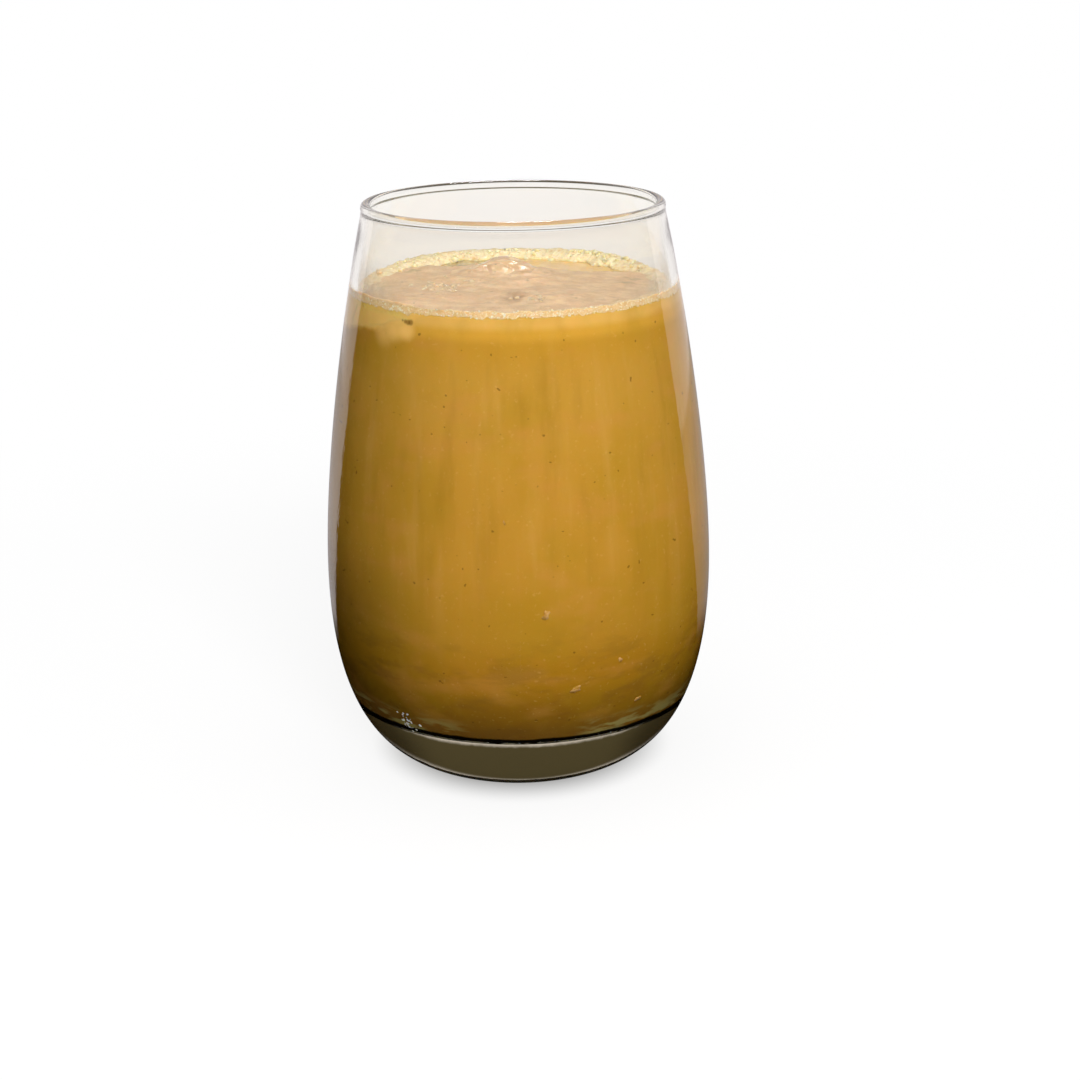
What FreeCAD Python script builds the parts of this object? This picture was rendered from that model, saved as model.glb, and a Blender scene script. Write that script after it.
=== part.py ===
"""Iced latte in a stemless tumbler: a round-bellied glass with a thick clear base, filled with milky
coffee on which a ring of froth and three half-melted ice cubes float. Each piece is a solid of its own.

Frame: millimetres, +Z up, origin at the centre of the foot on the surface the glass stands on.
The front of the drink faces -Y. Profiles are drawn in the XZ plane as (radius, height)."""

import math
import os

import FreeCAD, Part

# --- the glass ---------------------------------------------------------------------------------
GLASS_HEIGHT = 115.0
RIM_RADIUS = 30.0  # outside of the rounded rim
BEAD_RADIUS = 0.95  # the fire-polished bead round the rim
NECK_WALL = 1.5  # wall just under the bead
RIM_LEAN_DEG = 11.9  # how far the wall leans in where it reaches the rim
NECK_PULL = 27.1  # how far down the wall keeps that lean
BELLY_RADIUS = 39.5
BELLY_HEIGHT = 40.0
BELLY_WALL = 2.2
BELLY_RISE = 18.7  # how far above the belly the wall keeps upright
BELLY_DROP = 34.4  # how far below the belly the outside keeps upright
FOOT_RADIUS = 22.0  # outer edge of the flat ring that it stands on
FOOT_RING_WIDTH = 4.5
HEEL_ROUND = 3.0
HEEL_SLOPE_DEG = 27.9  # slope of the outside where it leaves the heel
HEEL_PULL = 3.0
PUNT_HEIGHT = 1.8  # the shallow hollow under the base
BASE_THICKNESS = 13.0
FLOOR_RADIUS = 25.0  # flat floor inside
FLOOR_CORNER = 3.0
FLOOR_CORNER_DEG = 52.0  # slope at which the corner runs into the inner wall
CORNER_PULL = 4.0
INNER_DROP = 15.0  # how far below the belly the inside keeps upright

# --- the drink ---------------------------------------------------------------------------------
LEVEL_BELOW_RIM = 17.0
FROTH_HEIGHT = 1.8
FROTH_WIDTH_FRONT = 2.4
FROTH_WIDTH_BACK = 6.0
FROTH_RIPPLE = 0.5  # how far the inner edge of the froth bulges between its lobes
FROTH_LOBES = 11
FROTH_SWAY = 0.3  # how far the same edge drifts in a few broad waves
FROTH_WAVES = 4
FROTH_EDGE_ROUND = 0.9

# --- the ice: edge, melted rounding, height of the top over the drink, tilt -----------------------
ICE_TAPER = 0.9  # top face of a moulded cube as a share of its bottom face
ICE_GAP = 1.2  # drink between neighbouring cubes
LEFT_ICE_EDGE = 22.0
LEFT_ICE_ROUND = 5.0
LEFT_ICE_TOP = 0.5
LEFT_ICE_LEAN_DEG = 7.5  # how far it leans in, with the wall that it lies against
LEFT_ICE_BEARING_DEG = 54.0  # where it lies against the wall, from the front towards -X
LEFT_ICE_PRESS = 1.0  # how much of it has melted to the shape of the wall
MIDDLE_ICE_EDGE = 26.0
MIDDLE_ICE_ROUND = 8.0
MIDDLE_ICE_TOP = 3.4
MIDDLE_ICE_LEAN_DEG = 14.0
MIDDLE_ICE_SHIFT = 6.0  # sideways, along the face that it turns to the left cube
FRONT_ICE_EDGE = 15.0
FRONT_ICE_ROUND = 4.5
FRONT_ICE_TOP = 0.8
FRONT_ICE_LEAN_DEG = 12.0

LEVEL = GLASS_HEIGHT - LEVEL_BELOW_RIM
X_AXIS = FreeCAD.Vector(1, 0, 0)
Y_AXIS = FreeCAD.Vector(0, 1, 0)
Z_AXIS = FreeCAD.Vector(0, 0, 1)
ORIGIN = FreeCAD.Vector(0, 0, 0)


def at(radius, height):
    """A point of a profile."""
    return FreeCAD.Vector(radius, 0, height)


def direction(slope_deg):
    """Unit vector in the profile plane, slope_deg above the outward horizontal."""
    angle = math.radians(slope_deg)
    return FreeCAD.Vector(math.cos(angle), 0, math.sin(angle))


def bezier(*poles):
    curve = Part.BezierCurve()
    curve.setPoles(list(poles))
    return curve


def radius_at(curve, height):
    """Radius of a profile curve that runs downwards, at a height on it."""
    low, high = 0.0, 1.0
    for _ in range(50):
        middle = (low + high) / 2
        if curve.value(middle).z > height:
            low = middle
        else:
            high = middle
    return curve.value(low).x


def revolve(curves):
    """The closed solid that a profile sweeps round the Z axis. The profile starts and ends on the axis."""
    edges = [c.toShape() for c in curves]
    ends = (edges[-1].Vertexes[-1].Point, edges[0].Vertexes[0].Point)
    edges.append(Part.LineSegment(*ends).toShape())
    face = Part.Face(Part.Wire(edges))
    return face.revolve(ORIGIN, Z_AXIS, 360)


# --- profile points shared by the glass and what it holds -------------------------------------------
UP_WALL = direction(90 + RIM_LEAN_DEG)
OUT_OF_WALL = direction(RIM_LEAN_DEG)
BEAD_CENTRE = at(RIM_RADIUS - BEAD_RADIUS, GLASS_HEIGHT - BEAD_RADIUS)
NECK = BEAD_CENTRE - UP_WALL * math.sqrt(BEAD_RADIUS**2 - (NECK_WALL / 2) ** 2)
OUTER_NECK = NECK + OUT_OF_WALL * (NECK_WALL / 2)
INNER_NECK = NECK - OUT_OF_WALL * (NECK_WALL / 2)
INNER_BELLY_RADIUS = BELLY_RADIUS - BELLY_WALL


def inner_curves():
    """The inside of the glass from the neck down to the axis: wall, lower wall, corner and floor."""
    belly = at(INNER_BELLY_RADIUS, BELLY_HEIGHT)
    upper = bezier(INNER_NECK, INNER_NECK - UP_WALL * NECK_PULL, belly + Z_AXIS * BELLY_RISE, belly)
    corner_centre = at(FLOOR_RADIUS, BASE_THICKNESS + FLOOR_CORNER)

    def on_corner(turn_deg):
        return corner_centre + direction(turn_deg - 90) * FLOOR_CORNER

    corner_end = on_corner(FLOOR_CORNER_DEG)
    lower = bezier(
        belly,
        belly - Z_AXIS * INNER_DROP,
        corner_end + direction(FLOOR_CORNER_DEG) * CORNER_PULL,
        corner_end,
    )
    corner = Part.Arc(corner_end, on_corner(FLOOR_CORNER_DEG / 2), on_corner(0))
    floor = Part.LineSegment(on_corner(0), at(0, BASE_THICKNESS))
    return upper, lower, corner, floor


def glass():
    """Rim bead, leaning wall, round belly, heel, foot ring and punt, over the inside's own curves."""
    punt_radius = FOOT_RADIUS - FOOT_RING_WIDTH
    punt_sphere = (punt_radius**2 + PUNT_HEIGHT**2) / (2 * PUNT_HEIGHT)
    half_way = punt_radius / 2
    punt_middle = at(half_way, PUNT_HEIGHT - punt_sphere + math.sqrt(punt_sphere**2 - half_way**2))
    heel_centre = at(FOOT_RADIUS, HEEL_ROUND)
    heel_middle = heel_centre + direction(HEEL_SLOPE_DEG / 2 - 90) * HEEL_ROUND
    heel_end = heel_centre + direction(HEEL_SLOPE_DEG - 90) * HEEL_ROUND
    belly = at(BELLY_RADIUS, BELLY_HEIGHT)
    under_belly = belly - Z_AXIS * BELLY_DROP
    over_heel = heel_end + direction(HEEL_SLOPE_DEG) * HEEL_PULL
    outside = [
        Part.Arc(at(0, PUNT_HEIGHT), punt_middle, at(punt_radius, 0)),
        Part.LineSegment(at(punt_radius, 0), at(FOOT_RADIUS, 0)),
        Part.Arc(at(FOOT_RADIUS, 0), heel_middle, heel_end),
        bezier(heel_end, over_heel, under_belly, belly),
        bezier(belly, belly + Z_AXIS * BELLY_RISE, OUTER_NECK - UP_WALL * NECK_PULL, OUTER_NECK),
        Part.Arc(OUTER_NECK, BEAD_CENTRE + Z_AXIS * BEAD_RADIUS, INNER_NECK),
    ]
    return revolve([*outside, *inner_curves()])


def inside():
    """Everything that the glass can hold, up to its neck."""
    brim = Part.LineSegment(at(0, INNER_NECK.z), INNER_NECK)
    return revolve([brim, *inner_curves()])


def slab(bottom, top):
    """A block wider than the glass, between two heights."""
    side = 4 * BELLY_RADIUS
    return Part.makeBox(side, side, top - bottom, FreeCAD.Vector(-side / 2, -side / 2, bottom))


def froth(room):
    """A ring of froth along the wall, broad at the back and narrow in front, with a wandering inner edge."""
    wall = radius_at(inner_curves()[0], LEVEL)
    mean_width = (FROTH_WIDTH_BACK + FROTH_WIDTH_FRONT) / 2
    widening = (FROTH_WIDTH_BACK - FROTH_WIDTH_FRONT) / 2
    count = 4 * FROTH_LOBES
    points = []
    for i in range(count):
        angle = 2 * math.pi * i / count
        edge = wall - mean_width - widening * math.sin(angle)
        edge += FROTH_RIPPLE * math.sin(FROTH_LOBES * angle)
        edge += FROTH_SWAY * math.cos(FROTH_WAVES * angle)
        points.append(FreeCAD.Vector(edge * math.cos(angle), edge * math.sin(angle), LEVEL))
    outline = Part.BSplineCurve()
    outline.interpolate(points, PeriodicFlag=True)
    hole = Part.Face(Part.Wire(outline.toShape())).extrude(Z_AXIS * FROTH_HEIGHT)
    ring = room.common(slab(LEVEL, LEVEL + FROTH_HEIGHT)).cut(hole)
    top = LEVEL + FROTH_HEIGHT
    inner_edges = [
        edge
        for edge in ring.Edges
        if edge.BoundBox.ZMin > top - FROTH_HEIGHT / 2
        and edge.BoundBox.XMax < wall - FROTH_WIDTH_FRONT / 2
    ]
    return ring.makeFillet(FROTH_EDGE_ROUND, inner_edges)


def melted_cube(edge, melt_round):
    """A moulded cube, narrower at the top, with every edge melted round. Its centre is the origin."""
    low, high = edge / 2, ICE_TAPER * edge / 2
    cube = Part.makeWedge(-low, -low, -low, -high, -high, low, low, low, high, high)
    cube.rotate(ORIGIN, X_AXIS, 90)
    return cube.makeFillet(melt_round, cube.Edges)


def floating(cube, centre, bearing_deg, tilt_axis, tilt_deg, top):
    """Tilts a cube, turns it to a bearing, and floats it over centre with its top just over the drink."""
    cube.rotate(ORIGIN, tilt_axis, tilt_deg)
    cube.rotate(ORIGIN, Z_AXIS, bearing_deg)
    highest = cube.optimalBoundingBox(False, False).ZMax
    cube.translate(FreeCAD.Vector(centre.x, centre.y, LEVEL + top - highest))


def ice(room):
    """The left cube lies against the wall. The middle one floats beside the face that the left one turns
    inwards, and the front one beside the middle one, with their left faces in line. So the cubes stay
    clear of each other whatever their edges are."""
    bearing = 90 - LEFT_ICE_BEARING_DEG
    inward = FreeCAD.Vector(math.cos(math.radians(bearing)), math.sin(math.radians(bearing)), 0)
    along = Z_AXIS.cross(inward)
    wall = radius_at(inner_curves()[0], LEVEL - LEFT_ICE_EDGE / 2)
    left_depth = LEFT_ICE_EDGE * (1 + ICE_TAPER) / 4
    left_at = inward * (left_depth - LEFT_ICE_PRESS - wall)
    left_to_middle = (LEFT_ICE_EDGE + MIDDLE_ICE_EDGE) / 2 + ICE_GAP
    middle_at = left_at + inward * left_to_middle + along * MIDDLE_ICE_SHIFT
    middle_to_front = (MIDDLE_ICE_EDGE + FRONT_ICE_EDGE) / 2 + ICE_GAP
    front_at = middle_at - along * middle_to_front - inward * ((MIDDLE_ICE_EDGE - FRONT_ICE_EDGE) / 2)
    corner_up = X_AXIS - Y_AXIS
    left = melted_cube(LEFT_ICE_EDGE, LEFT_ICE_ROUND)
    middle = melted_cube(MIDDLE_ICE_EDGE, MIDDLE_ICE_ROUND)
    front = melted_cube(FRONT_ICE_EDGE, FRONT_ICE_ROUND)
    floating(left, left_at, bearing, Y_AXIS, LEFT_ICE_LEAN_DEG, LEFT_ICE_TOP)
    floating(middle, middle_at, bearing, corner_up, MIDDLE_ICE_LEAN_DEG, MIDDLE_ICE_TOP)
    floating(front, front_at, bearing, Y_AXIS, FRONT_ICE_LEAN_DEG, FRONT_ICE_TOP)
    cubes = {"ice_left": left, "ice_middle": middle, "ice_front": front}
    return {name: cube.common(room) for name, cube in cubes.items()}


def main():
    room = inside()
    cubes = ice(room)
    latte = room.common(slab(0, LEVEL))
    ring = froth(room)
    for cube in cubes.values():
        latte = latte.cut(cube)
        ring = ring.cut(cube)
    nodes = {"glass": glass(), "latte": latte, "froth": ring, **cubes}
    os.makedirs("parts", exist_ok=True)
    for name, shape in nodes.items():
        for solid in shape.Solids:
            if not solid.isValid():
                raise ValueError(f"{name} is not a valid solid")
        shape.exportStep(f"parts/{name}.step")
        print(f"{name}: {len(shape.Solids)} solid, {shape.Volume / 1000:.2f} ml")


main()
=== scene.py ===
"""The looks of an iced latte in a stemless tumbler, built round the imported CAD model.

Everything is in metres, +Z up, in the CAD model's own frame, with the front of the drink towards -Y.
The glass's outline, and the wall that the drink and the froth follow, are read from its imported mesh."""

import math
import random

import bmesh
import bpy
import numpy as np
from mathutils import Matrix, Vector, noise
from mathutils.bvhtree import BVHTree

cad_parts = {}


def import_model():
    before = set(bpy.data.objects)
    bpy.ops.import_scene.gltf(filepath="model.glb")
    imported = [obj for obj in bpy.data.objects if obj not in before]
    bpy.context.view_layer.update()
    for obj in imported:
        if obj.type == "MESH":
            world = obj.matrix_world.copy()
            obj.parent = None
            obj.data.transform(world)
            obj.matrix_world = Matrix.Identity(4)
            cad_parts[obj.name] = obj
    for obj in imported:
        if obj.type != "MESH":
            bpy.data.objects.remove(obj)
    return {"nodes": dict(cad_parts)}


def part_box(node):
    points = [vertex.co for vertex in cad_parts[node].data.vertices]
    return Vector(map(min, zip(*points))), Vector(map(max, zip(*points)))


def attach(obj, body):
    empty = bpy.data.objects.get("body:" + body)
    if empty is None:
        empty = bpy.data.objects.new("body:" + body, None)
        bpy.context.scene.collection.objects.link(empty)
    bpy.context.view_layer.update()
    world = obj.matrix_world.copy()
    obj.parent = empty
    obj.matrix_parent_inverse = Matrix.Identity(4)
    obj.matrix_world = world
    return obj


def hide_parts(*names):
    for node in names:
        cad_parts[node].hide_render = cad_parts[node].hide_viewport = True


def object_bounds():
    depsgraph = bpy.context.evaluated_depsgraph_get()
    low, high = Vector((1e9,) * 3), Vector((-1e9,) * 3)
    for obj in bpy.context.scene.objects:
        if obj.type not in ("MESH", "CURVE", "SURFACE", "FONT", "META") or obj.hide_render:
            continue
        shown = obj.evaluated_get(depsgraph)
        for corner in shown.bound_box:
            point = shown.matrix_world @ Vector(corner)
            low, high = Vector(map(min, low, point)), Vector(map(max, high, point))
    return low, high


MM = 0.001
TURN = 2 * math.pi

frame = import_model()
CAD_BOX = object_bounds()
NODES = frame["nodes"]
CUBES = ("ice_left", "ice_middle", "ice_front")
RIM_HEIGHT = CAD_BOX[1][2]
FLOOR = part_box("latte")[0][2]  # the inside floor of the glass
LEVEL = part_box("latte")[1][2]
FROTH_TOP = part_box("froth")[1][2]

# --- the camera ---
CAMERA_DISTANCE = 0.380
CAMERA_HEIGHT = 0.1681
CAMERA_DOWN_DEG = 18.007
CAMERA_TURN_DEG = 0.673
CAMERA_ROLL_DEG = -0.718
CAMERA_LENS_MM = 64.119
CAMERA_SENSOR_MM = 36
CAMERA_CLIP = (0.01, 50)

# --- lights ---
SKY_GREY = (0.8, 0.8, 0.8)
SKY_STRENGTH = 1.0  # of the light from straight above
SIDE_STRENGTH = 0.42  # and from the sides
KEY_PLACE = (0.22, -0.94, 0.50)  # a large lamp in front, which shades but makes no highlights
KEY_SIDE = 0.5
KEY_WATTS = 9.8
SPARK_PLACE = (0.03, 0.70, 0.85)  # a small lamp behind, which makes only highlights
SPARK_SIDE = 0.15
SPARK_WATTS = 1.8

# --- what shiny surfaces mirror: a bright wall behind the glass, and little elsewhere ---
MIRROR_TINT = (1.0, 0.94, 0.95)
MIRROR_STRENGTH = 0.42  # of the wall's low part, which the floor stands in for
MIRROR_ABOVE = 0.85  # of its high part
MIRROR_LEFT = (-1.36, -1.24)  # X over Y of the directions over which its left end
MIRROR_RIGHT = (1.98, 1.92)  # and its right end fade in
MIRROR_GAIN_OVER = (-0.1, -1.3)  # and over which its low part brightens to the left,
MIRROR_GAIN = 2.0  # this many times
MIRROR_REST = 0.05  # of the sky elsewhere

# --- how far what fills the glass reaches into its wall ---
DRINK_BITE = 0.25 * MM
FROTH_BITE = 0.30 * MM
SHOWN_ICE_BITE = 0.28 * MM  # where the ice shows through the wall
HIDDEN_ICE_BITE = 0.17 * MM  # where the drink hides it

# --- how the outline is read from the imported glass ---
SEAM_SLACK = 0.002 * MM
UNDER_FOOT = 2.5 * MM  # points of the underside lie below this,
FACES_DOWN = -0.9  # and their normals point down at least this much
FACES_OUT = 0.05  # normals of the outside point away from the axis by more than this
OUTLINE_STEP = 1.3 * MM
AXIS_GAP = 1 * MM  # points nearer to the axis than this are left out


# --- meshes ---
def new_object(name, data):
    made = bpy.data.objects.new(name, data)
    bpy.context.scene.collection.objects.link(made)
    return made


def new_piece(name, mesh):
    """A smooth-shaded object that rides on the part's only body."""
    mesh.shade_smooth()
    piece = new_object(name, mesh)
    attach(piece, "root")
    return piece


def mesh_piece(name, vertices, faces):
    """The same, from points and faces."""
    mesh = bpy.data.meshes.new(name)
    mesh.from_pydata([tuple(v) for v in vertices], [], faces)
    mesh.validate()
    mesh.update()
    return new_piece(name, mesh)


def bands(count, around, wrap=False):
    """Quads between rows of points round the axis."""
    faces = []
    for j in range(count if wrap else count - 1):
        m = (j + 1) % count
        for i in range(around):
            k = (i + 1) % around
            faces.append((j * around + i, j * around + k, m * around + k, m * around + i))
    return faces


def closed_surface(name, rows):
    """A mesh from rows of points round the axis. The first and last rows are closed to a point."""
    rows = np.asarray(rows)
    count, around = rows.shape[:2]
    vertices = [*rows.reshape(-1, 3), rows[0].mean(0), rows[-1].mean(0)]
    start, end = count * around, count * around + 1
    last = (count - 1) * around
    faces = bands(count, around)
    for i in range(around):
        k = (i + 1) % around
        faces.append((start, k, i))
        faces.append((end, last + i, last + k))
    return mesh_piece(name, vertices, faces)


def ring_surface(name, rows):
    """A mesh from rows of points round the axis, whose last row joins the first again."""
    rows = np.asarray(rows)
    count, around = rows.shape[:2]
    return mesh_piece(name, rows.reshape(-1, 3), bands(count, around, wrap=True))


def circle(radius, height, around):
    """A row of points round the axis."""
    angles = np.linspace(0, TURN, around, endpoint=False)
    return np.stack((radius * np.cos(angles), radius * np.sin(angles), np.full(around, height)), axis=1)


def seam(mesh):
    """Points of a revolved mesh on its own seam, as (radius, height), and their normals."""
    count = len(mesh.vertices)
    places = np.empty(count * 3)
    mesh.vertices.foreach_get("co", places)
    normals = np.empty(count * 3)
    mesh.vertex_normals.foreach_get("vector", normals)
    places = places.reshape(-1, 3)
    normals = normals.reshape(-1, 3)
    chosen = (np.abs(places[:, 1]) < SEAM_SLACK) & (places[:, 0] > -SEAM_SLACK)
    points = {}  # vertices that lie together are one point, with their normals added up
    for (x, _, z), (across, _, up) in zip(places[chosen], normals[chosen]):
        point = points.setdefault((round(x / SEAM_SLACK), round(z / SEAM_SLACK)), [x, z, 0.0, 0.0])
        point[2] += across
        point[3] += up
    points = np.array(list(points.values()))
    lengths = np.hypot(points[:, 2], points[:, 3])[:, None]
    return points[:, :2], points[:, 2:] / lengths


def smooth_through(points, step):
    """Points on a centripetal Catmull-Rom curve through the given ones, about step apart at most."""
    points = [2 * points[0] - points[1], *points, 2 * points[-1] - points[-2]]
    result = [points[1]]
    for a, b, c, d in zip(points, points[1:], points[2:], points[3:]):
        ab, bc, cd = (math.sqrt(np.linalg.norm(q - p)) for p, q in ((a, b), (b, c), (c, d)))
        leave = bc * ((b - a) / ab - (c - a) / (ab + bc)) + (c - b)
        arrive = (c - b) - bc * ((d - b) / (bc + cd) - (d - c) / cd)
        count = max(1, math.ceil(np.linalg.norm(c - b) / step))
        for t in np.arange(1, count + 1) / count:
            point = (2 * t**3 - 3 * t**2 + 1) * b + (3 * t**2 - 2 * t**3) * c
            result.append(point + (t**3 - 2 * t**2 + t) * leave + (t**3 - t**2) * arrive)
    return result


def glass_outline():
    """The glass as (radius, height): under the foot, up the outside, over the rim and down the inside.
    Its inside comes a second time by itself."""
    points, normals = seam(NODES["glass"].data)
    faces_out = normals[:, 0] > FACES_OUT
    under = (points[:, 1] < UNDER_FOOT) & (normals[:, 1] < FACES_DOWN) & ~faces_out
    outside = ~under & faces_out
    inside = ~under & ~outside
    foot = points[under][np.argsort(points[under][:, 0])]
    up = points[outside][np.argsort(points[outside][:, 1])]
    down = points[inside][np.argsort(-points[inside][:, 1])]
    wall = np.array(smooth_through([foot[-1], *up, *down], OUTLINE_STEP))
    floor = [np.array((down[-1][0] * share, FLOOR)) for share in (0.96, 0.75, 0.5, 0.25, 0.05)]
    return [*foot[foot[:, 0] > AXIS_GAP], *wall[1:], *floor], wall[wall[:, 1].argmax():]


OUTLINE, INSIDE = glass_outline()
WALL_HEIGHTS = INSIDE[::-1, 1]
WALL_RADII = INSIDE[::-1, 0]


def wall_radius(height):
    """The inside radius of the glass at a height."""
    return float(np.interp(height, WALL_HEIGHTS, WALL_RADII))


def wobble(x, y, z, size, seed=0.0):
    """Smooth noise from -1 to 1 whose lumps are about size across."""
    return noise.noise(Vector((x / size + seed, y / size - seed, z / size + 2 * seed)))


def domes(x, y, z, size, seed=0.0):
    """Packed bubbles about size across: 1 on top of each and 0 in the creases between them."""
    near = noise.voronoi(Vector((x / size + seed, y / size - seed, z / size)))[0][0]
    return math.sqrt(max(0.0, 1 - (near / 0.75) ** 2))


def rise(value, low, high):
    """0 under low and 1 over high, smooth in between. low may be the larger."""
    t = min(1.0, max(0.0, (value - low) / (high - low)))
    return t * t * (3 - 2 * t)


# --- node trees ---
def srgb(red, shaded_green, blue):
    """A colour given in sRGB from 0 to 255, as linear light."""
    values = [c / 255 for c in (red, shaded_green, blue)]
    return tuple(c / 12.92 if c <= 0.04045 else ((c + 0.055) / 1.055) ** 2.4 for c in values)


class Nodes:
    """A node tree with short calls for what this scene needs."""

    def __init__(self, owner, output, place):
        owner.use_nodes = True
        self.owner = owner
        self.tree = owner.node_tree
        self.tree.nodes.clear()
        self.output = self.node(output)
        self.place = self.node("TexCoord").outputs[place]

    def node(self, kind, **values):
        made = self.tree.nodes.new("ShaderNode" + kind)
        for key, value in values.items():
            setattr(made, key, value)
        return made

    def link(self, source, target):
        self.tree.links.new(source, target)

    def feed(self, socket, value):
        """Link the value to the socket, or set it there if it is a plain number or colour."""
        if isinstance(value, bpy.types.NodeSocket):
            self.link(value, socket)
        elif isinstance(value, tuple) and socket.type == "RGBA":
            socket.default_value = (*value, 1.0)
        else:
            socket.default_value = value

    def call(self, kind, output, sockets, **settings):
        """One of the outputs of a new node with these settings, its sockets fed."""
        made = self.node(kind, **settings)
        for name, value in sockets.items():
            self.feed(made.inputs[name], value)
        return made.outputs[output]

    def math(self, operation, a, b=0.0, clamp=False):
        return self.call("Math", 0, {0: a, 1: b}, operation=operation, use_clamp=clamp)

    def times(self, *values):
        result = values[0]
        for value in values[1:]:
            result = self.math("MULTIPLY", result, value)
        return result

    def plus(self, a, b):
        return self.math("ADD", a, b)

    def mix(self, factor, a, b):
        made = self.node("Mix", data_type="RGBA")
        self.feed(made.inputs["Factor"], factor)
        colours = [i for i in made.inputs if i.type == "RGBA"]
        for socket, value in zip(colours, (a, b)):
            self.feed(socket, value)
        return [o for o in made.outputs if o.type == "RGBA"][0]

    def ramp(self, value, low, high, bottom=0.0, top=1.0):
        """bottom at low and top at high, smooth in between. low may be the larger."""
        sockets = {"Value": value, "From Min": low, "From Max": high, "To Min": bottom, "To Max": top}
        return self.call("MapRange", "Result", sockets, interpolation_type="SMOOTHSTEP")

    def stretched(self, x, y, z):
        """The place, scaled: less than 1 draws a pattern out along that axis."""
        return self.call("Mapping", "Vector", {"Vector": self.place, "Scale": (x, y, z)})

    def noise(self, size, detail=3.0, roughness=0.55, vector=None):
        sockets = {"Vector": vector or self.place, "Scale": 1 / size, "Detail": detail}
        return self.call("TexNoise", "Fac", {**sockets, "Roughness": roughness})

    def ragged(self, size, depth):
        """Noise of this size and about this depth, half of it below 0, for uneven outlines."""
        return self.times(self.plus(self.noise(size), -0.5), depth)

    def patches(self, under, colour, share, size, low, high, where=None, stretch=None, **settings):
        """A colour with patches of another over it: up to share strong, where noise of this size rises
        from low to high, and held back by where."""
        vector = self.stretched(*stretch) if stretch else None
        strength = self.times(self.ramp(self.noise(size, vector=vector, **settings), low, high), share)
        if where is not None:
            strength = self.times(strength, where)
        return self.mix(strength, under, colour)

    def cells(self, size):
        """The distance to the middle of the nearest cell, in cells about size across."""
        sockets = {"Vector": self.place, "Scale": 1 / size}
        return self.call("TexVoronoi", "Distance", sockets, feature="F1")

    def axis(self, name):
        return self.call("SeparateXYZ", name, {0: self.place})

    def sideways(self):
        """The distance from the middle plane, X = 0."""
        return self.math("ABSOLUTE", self.axis("X"))

    def away_from(self, x, y, z):
        """The distance from a point."""
        sockets = {0: self.place, 1: (x, y, z)}
        return self.call("VectorMath", "Value", sockets, operation="DISTANCE")

    def oval(self, x, y, wide, deep):
        """0 at a place on the level, 1 on an oval round it, and more outside."""
        across = self.math("DIVIDE", self.plus(self.axis("X"), -x), wide)
        along = self.math("DIVIDE", self.plus(self.axis("Y"), -y), deep)
        return self.math("SQRT", self.plus(self.times(across, across), self.times(along, along)))

    def bump(self, height, depth):
        sockets = {"Strength": 1.0, "Distance": depth, "Height": height}
        return self.call("Bump", "Normal", sockets)

    def shader(self, kind, **sockets):
        return self.call(kind, 0, {name.replace("_", " "): value for name, value in sockets.items()})

    def principled(self, **sockets):
        return self.shader("BsdfPrincipled", **sockets)

    def milky(self, colour, roughness, soak, **sockets):
        """The finished material of something that light soaks into. soak is how much of the light does,
        how far each of its colours goes, and the scale of that."""
        for name, value in zip(("Weight", "Radius", "Scale"), soak):
            sockets["Subsurface_" + name] = value
        return self.finish(self.principled(Base_Color=colour, Roughness=roughness, **sockets))

    def shaders(self, factor, first, second):
        """A mix of two shaders."""
        return self.call("MixShader", 0, {0: factor, 1: first, 2: second})

    def rays(self, *kinds):
        """1 for rays of any of these kinds."""
        path = self.node("LightPath")
        result = path.outputs[kinds[0]]
        for kind in kinds[1:]:
            result = self.math("MAXIMUM", result, path.outputs[kind])
        return result

    def mirror_rays(self):
        """1 for rays that a shiny surface throws back. Rays that glass bends count as glossy too."""
        glossy, bent = self.rays("Is Glossy Ray"), self.rays("Is Transmission Ray")
        return self.math("SUBTRACT", glossy, bent, clamp=True)

    def slant(self):
        """X over Y: which way a direction points, to the left or right of straight back."""
        return self.math("DIVIDE", self.axis("X"), self.math("MAXIMUM", self.axis("Y"), 0.0001))

    def bright_wall(self):
        """1 in the directions from the glass in which shiny surfaces see the bright wall."""
        slant = self.slant()
        return self.times(self.ramp(slant, *MIRROR_LEFT), self.ramp(slant, *MIRROR_RIGHT))

    def finish(self, shader):
        self.link(shader, self.output.inputs["Surface"])
        return self.owner


def material(name):
    """An empty material whose place is in metres, in the part's frame."""
    return Nodes(bpy.data.materials.new(name), "OutputMaterial", "Object")


def put(piece, *materials):
    """Give a piece these materials, in place of any it has."""
    piece.data.materials.clear()
    for made in materials:
        piece.data.materials.append(made)


# --- glass ---
GLASS_AROUND = 320
GLASS_COLOUR = (0.975, 0.950, 0.915)
GLASS_OPEN = (0.95, 0.95, 0.94)  # what each surface lets shadow rays and diffuse rays keep
GLASS_TINT = (0.62, 0.54, 0.40)
GLASS_TINT_PER_M = 20.0  # density of the tint inside the glass
GLASS_RELIEF = 0.04 * MM
FROST_EDGE = (-30 * MM, -34 * MM)  # the glass turns finely frosted between these X, towards -X


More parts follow.
